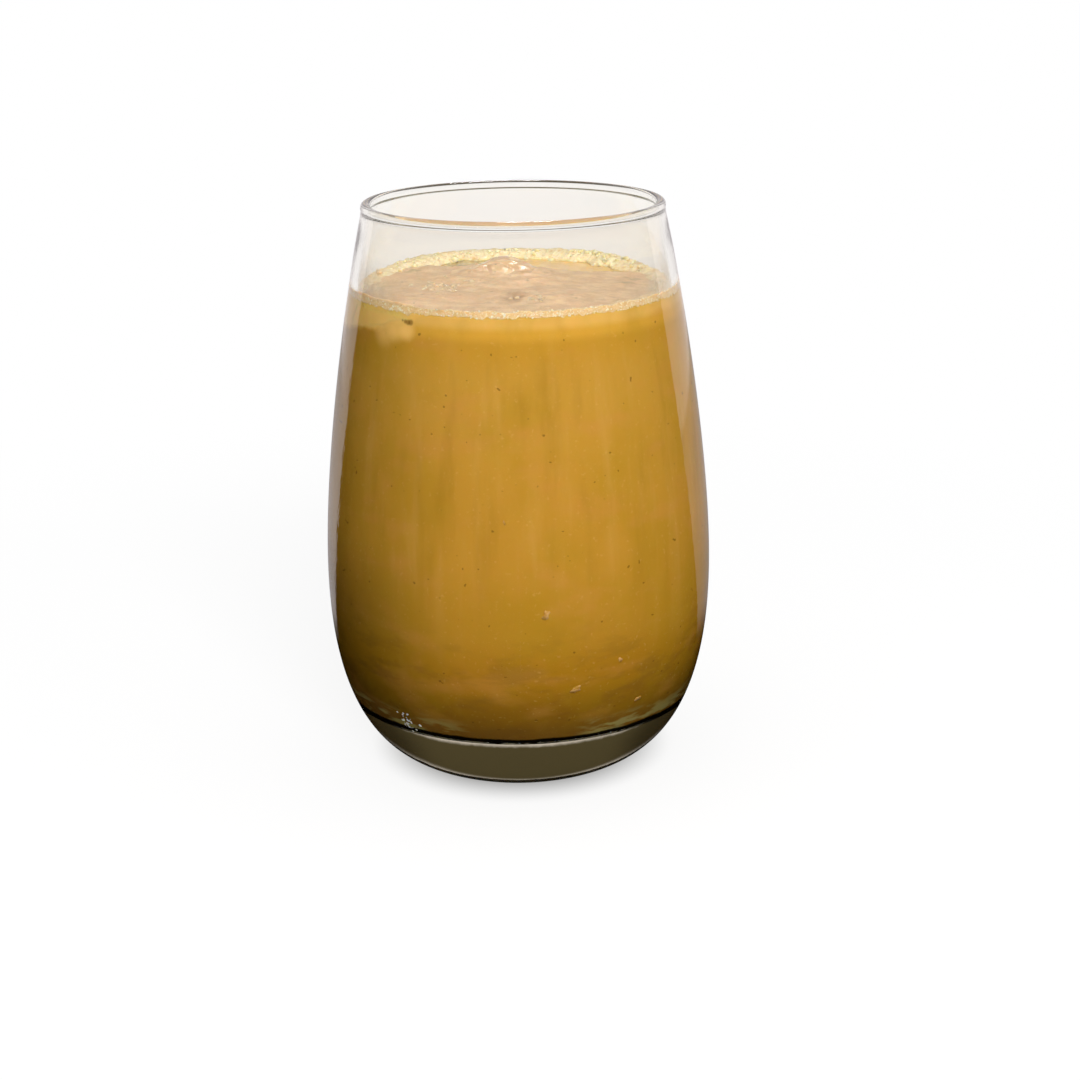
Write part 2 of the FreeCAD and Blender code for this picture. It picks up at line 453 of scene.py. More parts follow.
def glass_material():
    """Clear, faintly warm glass: smeared and rippled a little, and misted at its left edge."""
    m = material("glass")
    smear = m.noise(9 * MM, detail=2.0, vector=m.stretched(1, 1, 0.35))
    swell = m.noise(14 * MM, detail=1.0)
    ripple = m.times(m.noise(2.4 * MM, vector=m.stretched(1, 1, 0.4)), 0.3)
    misted = m.ramp(m.axis("X"), *FROST_EDGE)
    frost = m.times(m.noise(1.8 * MM, vector=m.stretched(1, 1, 0.6)), misted, 1.2)
    surface = m.principled(
        Base_Color=GLASS_COLOUR,
        Roughness=m.times(m.ramp(smear, 0.5, 0.8), 0.05),
        IOR=1.5,
        Transmission_Weight=1.0,
        Normal=m.bump(m.plus(swell, m.plus(ripple, frost)), GLASS_RELIEF),
    )
    open_way = m.shader("BsdfTransparent", Color=GLASS_OPEN)
    absorption = m.shader("VolumeAbsorption", Color=GLASS_TINT, Density=GLASS_TINT_PER_M)
    m.link(absorption, m.output.inputs["Volume"])
    return m.finish(m.shaders(m.rays("Is Shadow Ray", "Is Diffuse Ray"), surface, open_way))


def glass():
    """The CAD glass turned again from its own outline, with finer steps than its mesh has."""
    rows = [circle(radius, max(height, 0.0), GLASS_AROUND) for radius, height in OUTLINE]
    piece = closed_surface("glass_tumbler", rows)
    put(piece, glass_material())
    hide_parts("glass")


# --- the ice ---
ICE_TOUCHES = 0.1 * MM  # ice nearer to the wall than this lies against it
ICE_FINENESS = 6  # subdivisions of the ball whose points become the skin
PATCH_SIDE = -17 * MM  # the left ice shows through the wall beyond this X,
PATCH_HEIGHT = 97.3 * MM  # above a line that starts this high
PATCH_SLANT = 0.37  # and falls away to the side
PATCH_RAGGED = 0.6 * MM
PATCH_SOFT = 0.5 * MM


def ice_material():
    """Wet ice under a skin of milky coffee: pinkish tan above the drink, and below it the drink's side
    colour with its painted light and shade.
    """
    m = material("wet_ice")
    mottle = m.noise(2.5 * MM, detail=4.0)
    top = m.mix(m.ramp(mottle, 0.35, 0.7), srgb(222, 180, 138), srgb(240, 206, 164))
    streak = srgb(196, 152, 110)
    top = m.patches(top, streak, 0.3, 1.6 * MM, 0.55, 0.75, stretch=(1, 0.35, 1), detail=2.0)
    colour = m.mix(m.ramp(m.axis("Z"), LEVEL - 0.6 * MM, LEVEL + 0.3 * MM), side_colour_and_shade(m), top)
    soak = 0.7, (1.0, 0.6, 0.35), 1.6 * MM
    relief = m.bump(m.noise(1.6 * MM), 0.12 * MM)
    return m.milky(colour, m.times(m.plus(mottle, 0.2), 0.22), soak, IOR=1.31, Normal=relief)


def tree_of(mesh):
    """A mesh, ready for rays and for finding the nearest point on it."""
    faces = [tuple(p.vertices) for p in mesh.polygons]
    return BVHTree.FromPolygons([v.co for v in mesh.vertices], faces)


def wall_bite(x, y, z):
    """How far the ice reaches into the wall: past the drink only where it shows, above a slanting line."""
    line = PATCH_HEIGHT - PATCH_SLANT * (PATCH_SIDE - x) + PATCH_RAGGED * wobble(x, y, z, 3 * MM, 6)
    shown = rise(z, line - PATCH_SOFT, line + PATCH_SOFT)
    return HIDDEN_ICE_BITE + (SHOWN_ICE_BITE - HIDDEN_ICE_BITE) * shown


def melt(x, y, z):
    """How far melting has moved the skin outwards: broad and fine waves, and a few creases."""
    waves = 0.3 * wobble(x, y, z, 6 * MM, 1) + 0.16 * wobble(x, y, z, 2.2 * MM, 4) - 0.12
    crease = max(0.0, 1 - 6 * abs(wobble(x, y, z, 5 * MM, 8)))
    return MM * (waves - 0.25 * crease)


def melted(name):
    """A CAD cube with a melted, uneven skin: rays from its middle find the skin that noise then dents.
    Where it lies against the glass it reaches into the wall."""
    tree = tree_of(NODES[name].data)
    low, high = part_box(name)
    middle = (Vector(low) + Vector(high)) / 2
    shape = bmesh.new()
    bmesh.ops.create_icosphere(shape, subdivisions=ICE_FINENESS, radius=1)
    for vertex in shape.verts:
        way = vertex.co.normalized()
        place = tree.ray_cast(middle, way)[0]
        x, y, z = place
        room = wall_radius(z) - math.hypot(x, y)
        if room < ICE_TOUCHES:
            out = Vector((x, y, 0)).normalized()
            vertex.co = place + out * (room + wall_bite(x, y, z))
        else:
            vertex.co = place + way * melt(x, y, z) * rise(room, 0, 1 * MM)
    mesh = bpy.data.meshes.new(name + "_melted")
    shape.to_mesh(mesh)
    shape.free()
    piece = new_piece(name + "_melted", mesh)
    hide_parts(name)
    return piece


def ice():
    """The cubes. What comes back is for the film, which drapes over them."""
    wet = ice_material()
    pieces = [melted(name) for name in CUBES]
    for piece in pieces:
        put(piece, wet)
    return [tree_of(piece.data) for piece in pieces]


# --- the drink ---
DRINK_AROUND = 320
SIDE_COLOURS_AND_SHADE = (  # height and colour, from the froth down: painted light under the froth and painted shade downwards
    (LEVEL - 1.5 * MM, srgb(229, 181, 92)),
    (LEVEL - 3.3 * MM, srgb(215, 164, 60)),
    (LEVEL - 5.5 * MM, srgb(197, 148, 48)),
    (LEVEL - 12 * MM, srgb(198, 150, 56)),
    (54 * MM, srgb(194, 144, 50)),
    (38 * MM, srgb(184, 136, 42)),
    (28 * MM, srgb(176, 126, 28)),
    (19 * MM, srgb(148, 106, 26)),
)
# the painted dark reflection that makes a black line round the corner of the floor
DARK_CORNER_REFLECTION = srgb(14, 10, 5)
DARK_REFLECTION_HEIGHT = 1.6 * MM  # how far up the corner of the floor the painted dark reflection reaches
PAINTED_GLEAM_EDGE = (FLOOR + 0.62 * MM, FLOOR + 0.40 * MM)  # the painted pale gleam lies below this
DRINK_ROWS = 110  # up the wall
SURFACE_ROWS = 50  # and in to the axis
CREVICE_DEG = -37.0  # bearing from the front towards +X
CREVICE_HEIGHT = 95.8 * MM
LUMPS = (  # the pale ice under the crevice: turn from it in degrees, drop and reach in mm, strength
    (-1.0, 1.5, 2.6, 0.7),
    (-5.5, 1.5, 3.2, 0.6),
    (-11.0, 2.2, 4.0, 0.45),
)
CREVICE_SHADE = (  # painted shade in the crevice, a wedge that opens to the right: turn in degrees, lift and reach in mm
    (-4.2, 0.50, 0.30),
    (-3.2, 0.35, 0.45),
    (-2.0, 0.20, 0.60),
    (-0.8, 0.10, 0.75),
    (0.3, 0.15, 0.80),
)


def on_wall(bearing_deg, height, bite=0.0):
    """A place on the inner wall, or bite into it. The bearing is from the front towards +X."""
    angle = math.radians(bearing_deg - 90)
    radius = wall_radius(height) + bite
    return radius * math.cos(angle), radius * math.sin(angle), height


def side_colour_and_shade(m):
    """Milky coffee against the glass, with painted light that makes it brightest under the froth and painted
    shade that darkens it downwards and to the left; with olive and orange blotches, faint upright streaks,
    and the left ice under its skin of coffee."""
    height = m.axis("Z")
    body = SIDE_COLOURS_AND_SHADE[0][1]
    for (above, _), (below, colour) in zip(SIDE_COLOURS_AND_SHADE, SIDE_COLOURS_AND_SHADE[1:]):
        body = m.mix(m.ramp(height, above, below), body, colour)
    olive, orange = srgb(172, 134, 24), srgb(206, 146, 70)
    rough, smooth = {"detail": 4.0, "roughness": 0.6}, {"roughness": 0.5}
    body = m.patches(body, olive, 0.35, 17 * MM, 0.42, 0.62, stretch=(1, 1, 0.7), **rough)
    body = m.patches(body, orange, 0.35, 11 * MM, 0.5, 0.7, stretch=(0.8, 0.8, 1.6), **smooth)
    low, high = m.ramp(height, 36 * MM, 56 * MM, bottom=0.25), m.ramp(height, 95 * MM, 86 * MM, bottom=0.3)
    middle = m.times(low, high)
    pale, dark = srgb(214, 166, 86), srgb(150, 112, 24)
    body = m.patches(body, pale, 0.3, 4 * MM, 0.5, 0.75, where=middle, stretch=(1, 1, 0.10))
    body = m.patches(body, dark, 0.3, 5 * MM, 0.5, 0.75, where=middle, stretch=(1.1, 1.1, 0.13))
    settled, swirl = srgb(132, 96, 34), {"detail": 5.0, "roughness": 0.6}
    foot = m.ramp(height, 46 * MM, 24 * MM)
    body = m.patches(body, settled, 0.4, 7 * MM, 0.48, 0.66, where=foot, stretch=(0.7, 0.7, 2.0), **swirl)
    grain, dirt = srgb(240, 196, 116), srgb(96, 66, 14)
    body = m.patches(body, grain, 0.16, 0.8 * MM, 0.62, 0.74, detail=2.0)
    body = m.patches(body, dirt, 0.6, 1.5 * MM, 0.745, 0.78, stretch=(1.1, 0.9, 1.3), detail=1.0)
    # painted shade: darker towards -X and low down, where the front lamp's light falls off
    left = m.times(m.ramp(m.axis("X"), -10 * MM, -36 * MM), m.ramp(height, 58 * MM, 36 * MM, 0.25, 0.55))
    body = m.mix(left, body, srgb(44, 31, 5))
    return left_ice_colour(m, body)


def left_ice_colour(m, body):
    """The left ice through the wall: a paler patch, painted shade in a crevice and pale lumps below it."""
    across = m.axis("X")
    slant = m.times(m.plus(across, -PATCH_SIDE), PATCH_SLANT)
    ragged = m.ragged(3.5 * MM, 3 * MM)
    above = m.plus(m.plus(m.axis("Z"), -PATCH_HEIGHT), m.plus(m.times(slant, -1.0), ragged))
    beyond = m.ramp(across, PATCH_SIDE + 2 * MM, PATCH_SIDE - 3 * MM)
    patch = m.times(m.ramp(above, -0.9 * MM, 0.7 * MM), beyond, 0.8)
    body = m.mix(patch, body, srgb(240, 196, 106))
    for turn, drop, reach, share in LUMPS:
        lump = m.away_from(*on_wall(CREVICE_DEG + turn, CREVICE_HEIGHT - drop * MM))
        shown = m.ramp(lump, reach * MM, reach * 0.2 * MM, top=share)
        body = m.mix(shown, body, srgb(246, 200, 116))
    # painted shade in the crevice
    for turn, lift, reach in CREVICE_SHADE:
        crevice_shade = m.away_from(*on_wall(CREVICE_DEG + turn, CREVICE_HEIGHT + lift * MM))
        shown = m.ramp(crevice_shade, reach * MM, reach * 0.45 * MM, top=0.65)
        body = m.mix(shown, body, srgb(104, 68, 12))
    return body


def drink_side_material():
    """The drink's sides, with painted shade that darkens them towards the floor, greenish wisps of painted
    reflection, a black line of painted dark reflection round the corner of the floor and a painted pale
    gleam below it."""
    m = material("latte_in_glass")
    above_floor = m.plus(m.plus(m.axis("Z"), -FLOOR), m.ragged(5 * MM, 0.8 * MM))
    # painted shade: darker towards the corner of the floor
    body = m.mix(m.ramp(above_floor, 7 * MM, DARK_REFLECTION_HEIGHT, top=0.6), side_colour_and_shade(m), srgb(116, 82, 34))
    sideways = m.sideways()
    # painted reflection: pale greenish wisps low down towards both sides
    ends = m.times(m.ramp(sideways, 8 * MM, 15 * MM), m.ramp(above_floor, 6.0 * MM, 2.4 * MM))
    wisp_reflection, gleam = srgb(190, 184, 116), srgb(214, 206, 180)
    body = m.patches(body, wisp_reflection, 0.6, 3.0 * MM, 0.46, 0.62, where=ends, stretch=(0.5, 0.5, 2.4))
    # painted dark reflection: the black line round the corner of the floor
    body = m.mix(m.ramp(above_floor, DARK_REFLECTION_HEIGHT, DARK_REFLECTION_HEIGHT - 0.4 * MM), body, DARK_CORNER_REFLECTION)
    # painted highlight: a pale gleam just below the black line, towards the middle
    painted_gleam_where = m.times(m.ramp(m.axis("Z"), *PAINTED_GLEAM_EDGE), m.ramp(sideways, 24 * MM, 16 * MM))
    body = m.patches(body, gleam, 0.8, 3.0 * MM, 0.35, 0.55, where=painted_gleam_where)
    soak = 0.5, (1.0, 0.55, 0.2), 0.8 * MM
    return m.milky(body, 0.6, soak, Specular_IOR_Level=0.0)


def pool_material():
    """The open liquid behind the film: amber, and on the left a greenish strip darkened with painted shade
    behind the ridge.
    """
    m = material("latte_surface")
    mottle = m.noise(3 * MM, detail=4.0)
    amber = m.mix(m.ramp(mottle, 0.35, 0.7), srgb(232, 184, 102), srgb(246, 202, 126))
    # painted shade: the strip on the left is darker, behind the ridge
    shaded_green = m.mix(m.ramp(mottle, 0.4, 0.6), srgb(160, 142, 96), srgb(206, 174, 112))
    colour = m.mix(m.ramp(m.axis("X"), -5 * MM, 2 * MM), shaded_green, amber)
    soak = 0.5, (1.0, 0.55, 0.25), 1.2 * MM
    relief = m.bump(m.noise(1.2 * MM, detail=2.0), 0.05 * MM)
    return m.milky(colour, m.plus(m.times(mottle, 0.15), 0.06), soak, IOR=1.34, Normal=relief)


def drink():
    """A solid up to the level, whose sides reach into the wall."""
    bottom = FLOOR - DRINK_BITE
    rows = [circle(WALL_RADII[0] * share, bottom, DRINK_AROUND) for share in (0.02, 0.3, 0.6, 0.85)]
    corner = WALL_HEIGHTS[WALL_HEIGHTS < FLOOR + 4 * MM]
    for height in [*corner, *np.linspace(FLOOR + 4.5 * MM, LEVEL, DRINK_ROWS)]:
        rows.append(circle(wall_radius(height) + DRINK_BITE, height, DRINK_AROUND))
    wall = wall_radius(LEVEL) + DRINK_BITE
    for share in np.linspace(0.99, 0.01, SURFACE_ROWS):
        row = circle(wall * share, LEVEL, DRINK_AROUND)
        for point in row:
            x, y = point[:2]
            point[2] += 0.06 * MM * wobble(x, y, 0, 6 * MM) + 0.02 * MM * wobble(x, y, 0, 1.5 * MM, 3)
        rows.append(row)
    piece = closed_surface("latte_body", rows)
    put(piece, drink_side_material(), pool_material())
    for polygon in piece.data.polygons:
        if polygon.center.z > LEVEL - 0.3 * MM and polygon.normal.z > 0.5:
            polygon.material_index = 1
    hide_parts("latte")


# --- the film on top ---
FILM_AROUND = 560
FILM_ROWS = 135
FILM_DEPTH = 0.55 * MM
FILM_SUNK = 0.3 * MM  # how far under the level the film's skin runs where there is no film
FILM_UNDERSIDE = 0.8 * MM  # under the level
FILM_EDGE = 10.5 * MM  # the film ends at this Y, and slants back towards -X
FILM_EDGE_SLANT = 0.45
DRAPE_BLEND = 0.9 * MM  # how softly the film runs up onto the ice
DRAPE_DEPTH = 0.1 * MM
CREEP = 0.9 * MM  # how far the film is drawn up beside the ice,
CREEP_REACH = 2.6 * MM  # and over what distance
BARE_ABOVE = (LEVEL + 2.7 * MM, LEVEL + 3.2 * MM)  # ice higher than this shows bare
HOLLOW = (-0.2 * MM, -17.0 * MM)
HOLLOW_DEPTH = 0.7 * MM
HOLLOW_REACH = 1.9 * MM
WALL_SHADE_PATCHES = (  # painted greenish shade near the wall: place and reach
    (24 * MM, 1.5 * MM, 2.6 * MM),
    (-21 * MM, 13 * MM, 2.0 * MM),
    (22 * MM, -3 * MM, 1.5 * MM),
)


def film_edge(x, y):
    """How far a place is inside the film, from its ragged back edge."""
    edge = FILM_EDGE + FILM_EDGE_SLANT * max(0.0, -x)
    ragged = 1.3 * MM * wobble(x, y, 0, 5 * MM, 6) + 0.5 * MM * wobble(x, y, 0, 1.6 * MM, 2)
    return edge + ragged - y


def ice_near(x, y, trees):
    """The height of the ice's top at a place, 0 where there is none, and the distance to the nearest ice."""
    top, gap = 0.0, 1.0
    for tree in trees:
        hit = tree.ray_cast(Vector((x, y, RIM_HEIGHT)), Vector((0, 0, -1)))[0]
        if hit is not None:
            top = max(top, hit.z)
        gap = min(gap, tree.find_nearest(Vector((x, y, LEVEL + 0.3 * MM)))[3])
    return top, gap


def film_height(x, y, trees):
    """The top of the film: uneven, dimpled at the hollow, and drawn up over the ice."""
    inside = rise(film_edge(x, y), -0.15 * MM, 0.7 * MM)
    height = LEVEL + (FILM_DEPTH + FILM_SUNK) * inside - FILM_SUNK
    height += MM * inside * (0.16 * wobble(x, y, 0, 6 * MM) + 0.08 * wobble(x, y, 0, 1.8 * MM, 3))
    height += MM * inside * 0.05 * domes(x, y, 0, 0.9 * MM)
    from_hollow = math.hypot(x - HOLLOW[0], y - HOLLOW[1])
    height -= HOLLOW_DEPTH * math.exp(-((from_hollow / HOLLOW_REACH) ** 2))
    top, gap = ice_near(x, y, trees)
    height += CREEP * math.exp(-gap / CREEP_REACH) * inside
    draped = top + DRAPE_DEPTH * (1 + wobble(x, y, 0, 1.6 * MM, 5))
    if draped > height - DRAPE_BLEND and inside > 0.3:
        near = max(0.0, 1 - abs(draped - height) / DRAPE_BLEND)
        bare = rise(top + 0.5 * MM * wobble(x, y, 0, 2 * MM, 7), *BARE_ABOVE)
        height = max(height, draped) + DRAPE_BLEND / 4 * near**2 - 0.4 * MM * bare
    return height


def film_material():
    """Tan froth film: mottled and fine-grained, with pale flecks, darker specks, painted shade in the hollow
    and greenish painted shade near the wall, and shiny where it stands up over the ice."""
    m = material("foam_film")
    mottle = m.noise(3.2 * MM, detail=4.0)
    film = m.mix(m.ramp(mottle, 0.35, 0.7), srgb(219, 179, 132), srgb(240, 204, 156))
    broad, fleck, speck = srgb(234, 186, 138), srgb(250, 216, 172), srgb(150, 118, 82)
    film = m.patches(film, broad, 0.4, 11 * MM, 0.45, 0.7, detail=2.0)
    film = m.mix(m.ramp(m.cells(0.7 * MM), 0.05, 0.4, bottom=0.25, top=0.0), film, srgb(248, 218, 178))
    film = m.patches(film, fleck, 0.5, 1.3 * MM, 0.62, 0.7, stretch=(1, 1.4, 1), detail=2.0)
    film = m.patches(film, speck, 0.5, 1.0 * MM, 0.69, 0.74, detail=1.0)
    # painted shade in the hollow
    hollow = m.plus(m.oval(*HOLLOW, 2.2 * MM, 4.6 * MM), m.ragged(1.3 * MM, 1.6))
    film = m.mix(m.ramp(hollow, 1.3, 0.4, top=0.6), film, srgb(154, 118, 80))
    # painted shade: greenish patches near the wall
    for x, y, reach in WALL_SHADE_PATCHES:
        wall_shade = m.plus(m.away_from(x, y, LEVEL), m.ragged(1.6 * MM, 5 * MM))
        film = m.mix(m.ramp(wall_shade, reach, reach * 0.4, top=0.5), film, srgb(152, 132, 88))
    matt = m.ramp(m.axis("Z"), LEVEL + 1.4 * MM, LEVEL + 2.4 * MM, bottom=0.35, top=0.0)
    soak = 0.6, (1.0, 0.6, 0.3), 0.9 * MM
    relief = m.bump(m.noise(0.7 * MM), 0.05 * MM)
    return m.milky(film, m.plus(m.times(mottle, 0.2), matt), soak, IOR=1.34, Normal=relief)


def film(trees):
    """A skin of fine froth that drapes over the ice and ends in a ragged edge towards the back."""
    wall = wall_radius(LEVEL) + DRINK_BITE * 0.6
    rows = [circle(wall * share, LEVEL - FILM_UNDERSIDE, FILM_AROUND) for share in (0.03, 0.5, 0.97)]
    rows.append(circle(wall, LEVEL - FILM_SUNK, FILM_AROUND))
    for share in np.linspace(1.0, 0.008, FILM_ROWS):
        row = circle(wall * share, LEVEL, FILM_AROUND)
        for point in row:
            point[2] = film_height(point[0], point[1], trees)
        rows.append(row)
    piece = closed_surface("foam_film", rows)
    put(piece, film_material())


# --- froth ---
FROTH_AROUND = 1100
FROTH_BACK = 6.0 * MM
FROTH_FRONT = 2.4 * MM
DRIP_DEG = 232.0  # from +X, where the froth runs down a little at the front left
OUTER_SHARES = (0.0, 0.03, 0.25, 0.5, 0.75, 0.97, 1.0)  # up the wall
TOP_SHARES = (0.03, 0.12, 0.22, 0.32, 0.42, 0.52, 0.62, 0.72, 0.8, 0.87, 0.94, 1.0)  # and inwards


def froth_material():
    """Packed fine bubbles: cream and speckled at the front, pale yellow at the back."""
    m = material("froth")
    cells = m.cells(0.5 * MM)
    back = m.ramp(m.axis("Y"), -5 * MM, 18 * MM)
    pale = m.mix(back, srgb(250, 226, 184), srgb(252, 242, 208))
    deep = m.mix(back, srgb(240, 205, 152), srgb(246, 226, 172))
    cream = m.mix(m.ramp(cells, 0.08, 0.42), pale, deep)
    cream = m.patches(cream, srgb(220, 178, 114), 0.6, 1.3 * MM, 0.5, 0.7)
    cream = m.patches(cream, srgb(214, 170, 104), 0.5, 0.45 * MM, 0.5, 0.68, detail=2.0)
    cream = m.patches(cream, srgb(255, 246, 218), 0.8, 0.6 * MM, 0.62, 0.70, detail=1.0)
    soak = 0.7, (1.0, 0.75, 0.4), 0.4 * MM
    return m.milky(cream, 0.4, soak, IOR=1.34, Normal=m.bump(cells, -0.04 * MM))


def froth_width(cos, sin):
    """The ring's width in a direction: widest at the back, narrowest at the front, and uneven."""
    width = (FROTH_BACK + FROTH_FRONT) / 2 + (FROTH_BACK - FROTH_FRONT) / 2 * sin
    return width * (1 + 0.35 * wobble(cos * 30 * MM, sin * 30 * MM, 0, 5 * MM))


def froth_section(angle):
    """The ring cut through in one direction: up the wall, over its bubbly top and back underneath."""
    cos, sin = math.cos(angle), math.sin(angle)
    x, y = cos * 31 * MM, sin * 31 * MM
    width = froth_width(cos, sin)
    ragged = 0.35 * wobble(x, y, 0, 3.4 * MM, 5) + 0.45 * wobble(x, y, 0, 0.9 * MM, 1)
    drip = 0.9 * math.exp(-(((math.degrees(angle) - DRIP_DEG) / 1.3) ** 2))
    lower = LEVEL - MM * max(0.08, 0.3 + ragged + drip)
    uneven = 0.25 * wobble(x, y, 0, 3.1 * MM, 9) + 0.2 * wobble(x, y, 0, 0.9 * MM, 4)
    upper = LEVEL + MM * (1.1 + 0.3 * sin + uneven)
    outline = []
    for share in OUTER_SHARES:
        height = lower + (upper - lower) * share
        outline.append((wall_radius(height) + FROTH_BITE, height))
    rim = wall_radius(upper)
    for share in TOP_SHARES:
        radius = rim - width * share
        drop = (upper - LEVEL - 0.2 * MM) * share**2.5
        coarse = domes(cos * radius, sin * radius, 0, 1.1 * MM, 3)
        fine = domes(cos * radius, sin * radius, 0, 0.5 * MM, 8)
        outline.append((radius, upper - drop + MM * (0.2 * coarse + 0.08 * fine - 0.2)))
    inner = rim - width
    outline.append((inner + 0.1 * MM, LEVEL - 0.3 * MM))
    for share, depth in ((0.35, 0.5), (0.65, 0.55), (0.9, 0.6)):
        outline.append((inner + width * share, LEVEL - depth * MM))
    outline.append((wall_radius(lower) - 0.25 * MM, lower - 0.05 * MM))
    return [(radius * cos, radius * sin, height) for radius, height in outline]


def froth():
    """A ring of froth with a ragged lower edge against the glass and a bubbly top."""
    sections = [froth_section(TURN * i / FROTH_AROUND) for i in range(FROTH_AROUND)]
    rows = np.asarray(sections).transpose(1, 0, 2)
    piece = ring_surface("froth_ring", rows)
    put(piece, froth_material())
    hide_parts("froth")


# --- small things ---
BUBBLE_SEED = 7
RING_BUBBLES = 420  # tried, and kept mostly at the back
LARGE_BUBBLES = (  # angle from +X in degrees, distance from the wall and radius in mm
    (63, 3.0, 0.85),
    (51, 2.6, 1.05),
    (48, 4.2, 0.7),
    (44, 2.4, 0.9),
    (96, 3.2, 0.7),
    (104, 2.2, 0.8),
    (88, 2.0, 0.6),
    (128, 2.8, 0.75),
)
LARGEST_SMALL = 0.75  # radius of the largest of the random bubbles, in mm
CLUSTER = (-14.3 * MM, -5.0 * MM)
CLUSTER_SPREAD = (3.2 * MM, 3.8 * MM)
CLUSTER_COUNT = 44
WET_SPOT = (4.5 * MM, -21.0 * MM)
WET_SPREAD = (1.1 * MM, 0.9 * MM)
WET_COUNT = 14


def ball_mesh(subdivisions):
    """Points and faces of a unit ball."""
    shape = bmesh.new()
    bmesh.ops.create_icosphere(shape, subdivisions=subdivisions, radius=1)
    points = np.array([v.co for v in shape.verts])
    faces = np.array([[v.index for v in f.verts] for f in shape.faces])
    shape.free()
    return points, faces


def balls(name, places, subdivisions):
    """One mesh of balls, each (x, y, z, radius, flatness)."""
    points, faces = ball_mesh(subdivisions)
    vertices, all_faces = [], []
    for x, y, z, radius, flatness in places:
        all_faces.append(faces + len(vertices) * len(points))
        vertices.append(points * (radius, radius, radius * flatness) + (x, y, z))
    return mesh_piece(name, np.concatenate(vertices), np.concatenate(all_faces).tolist())


def bubble_material():
    """Wet bubbles: tan at the front and pale yellow at the back."""
    m = material("froth_bubbles")
    shade = m.ramp(m.noise(1.0 * MM), 0.4, 0.62)
    front = m.mix(shade, srgb(226, 190, 148), srgb(244, 214, 176))
    behind = m.mix(shade, srgb(246, 222, 162), srgb(252, 238, 198))
    colour = m.mix(m.ramp(m.axis("Y"), 8 * MM, 16 * MM), front, behind)
    soak = 0.8, (1.0, 0.8, 0.5), 0.8 * MM
    relief = m.bump(m.noise(0.4 * MM), 0.02 * MM)
    return m.milky(colour, 0.25, soak, IOR=1.34, Normal=relief)


def ring_bubbles(draw):
    """Small bubbles in the ring of froth, then its large ones."""
    places = []
    for _ in range(RING_BUBBLES):
        angle = draw.uniform(0, TURN)
        cos, sin = math.cos(angle), math.sin(angle)
        if draw.random() > 0.8 * rise(sin, 0.0, 0.8):
            continue
        share = draw.uniform(0.08, 0.95)
        radius = MM * min(LARGEST_SMALL, 0.16 + draw.expovariate(7))
        from_axis = wall_radius(LEVEL) - radius - 0.3 * MM - froth_width(cos, sin) * share
        top = FROTH_TOP - (FROTH_TOP - LEVEL) * share**2.5 - 0.35 * MM
        places.append((cos * from_axis, sin * from_axis, top, radius, 0.75))
    for angle_deg, inward, radius in LARGE_BUBBLES:
        angle = math.radians(angle_deg)
        from_axis = wall_radius(LEVEL) - inward * MM
        x, y = from_axis * math.cos(angle), from_axis * math.sin(angle)
        places.append((x, y, LEVEL + 0.35 * MM, radius * MM, 0.7))
    return places


def film_bubbles(draw, trees):
    """Bubbles on the film: a cluster, a wet spot, and two in the hollow."""
    places = []
    for _ in range(CLUSTER_COUNT):
        x, y = (draw.gauss(middle, spread) for middle, spread in zip(CLUSTER, CLUSTER_SPREAD))
        radius = MM * min(LARGEST_SMALL, 0.2 + draw.expovariate(5))
        places.append((x, y, film_height(x, y, trees) - radius * 0.15, radius, 0.6))
    for _ in range(WET_COUNT):
        x, y = (draw.gauss(middle, spread) for middle, spread in zip(WET_SPOT, WET_SPREAD))
        radius = MM * draw.uniform(0.2, 0.5)
        places.append((x, y, film_height(x, y, trees) - radius * 0.2, radius, 0.7))
    for side in (-0.6 * MM, 0.7 * MM):
        x = HOLLOW[0] + side
        places.append((x, HOLLOW[1] - 0.3 * MM, film_height(x, HOLLOW[1], trees), 0.55 * MM, 0.7))
    return places


def bubbles(trees):
    """Bubbles of many sizes along the froth, mostly at the back, and on the film."""
    draw = random.Random(BUBBLE_SEED)
    places = ring_bubbles(draw)
    places += film_bubbles(draw, trees)
    piece = balls("froth_bubbles", places, 3)
    put(piece, bubble_material())


SPECK_SEED = 11
CHAIN_DEG = 2.5  # bearing from the front towards +X of a chain of rising bubbles
SPARKLE_DEG = -45.0  # and of the ones low down, painted nearly white as sparkles
FROTH_SPECK_BITE = 0.22 * MM
CORNER_SPECK_BITE = 0.10 * MM


def speck_material():
    """Amber in the drink, cream in the froth, and nearly white in the corner of the floor as a painted
    sparkle.
    """
    m = material("pale_specks")
    shade = m.ramp(m.noise(2 * MM), 0.4, 0.6)
    below = m.mix(shade, srgb(244, 196, 116), srgb(236, 180, 120))
    foam = m.mix(shade, srgb(255, 242, 214), srgb(248, 220, 170))
    height = m.axis("Z")
    colour = m.mix(m.ramp(height, LEVEL - 1.2 * MM, LEVEL - 0.4 * MM), below, foam)
    # painted highlight: specks low in the corner of the floor are nearly white, for their sparkle
    colour = m.mix(m.ramp(height, FLOOR + 8 * MM, FLOOR + 7 * MM), colour, srgb(238, 238, 232))
    soak = 0.4, (1.0, 0.6, 0.3), 0.5 * MM
    return m.milky(colour, 0.4, soak, Specular_IOR_Level=0.0)


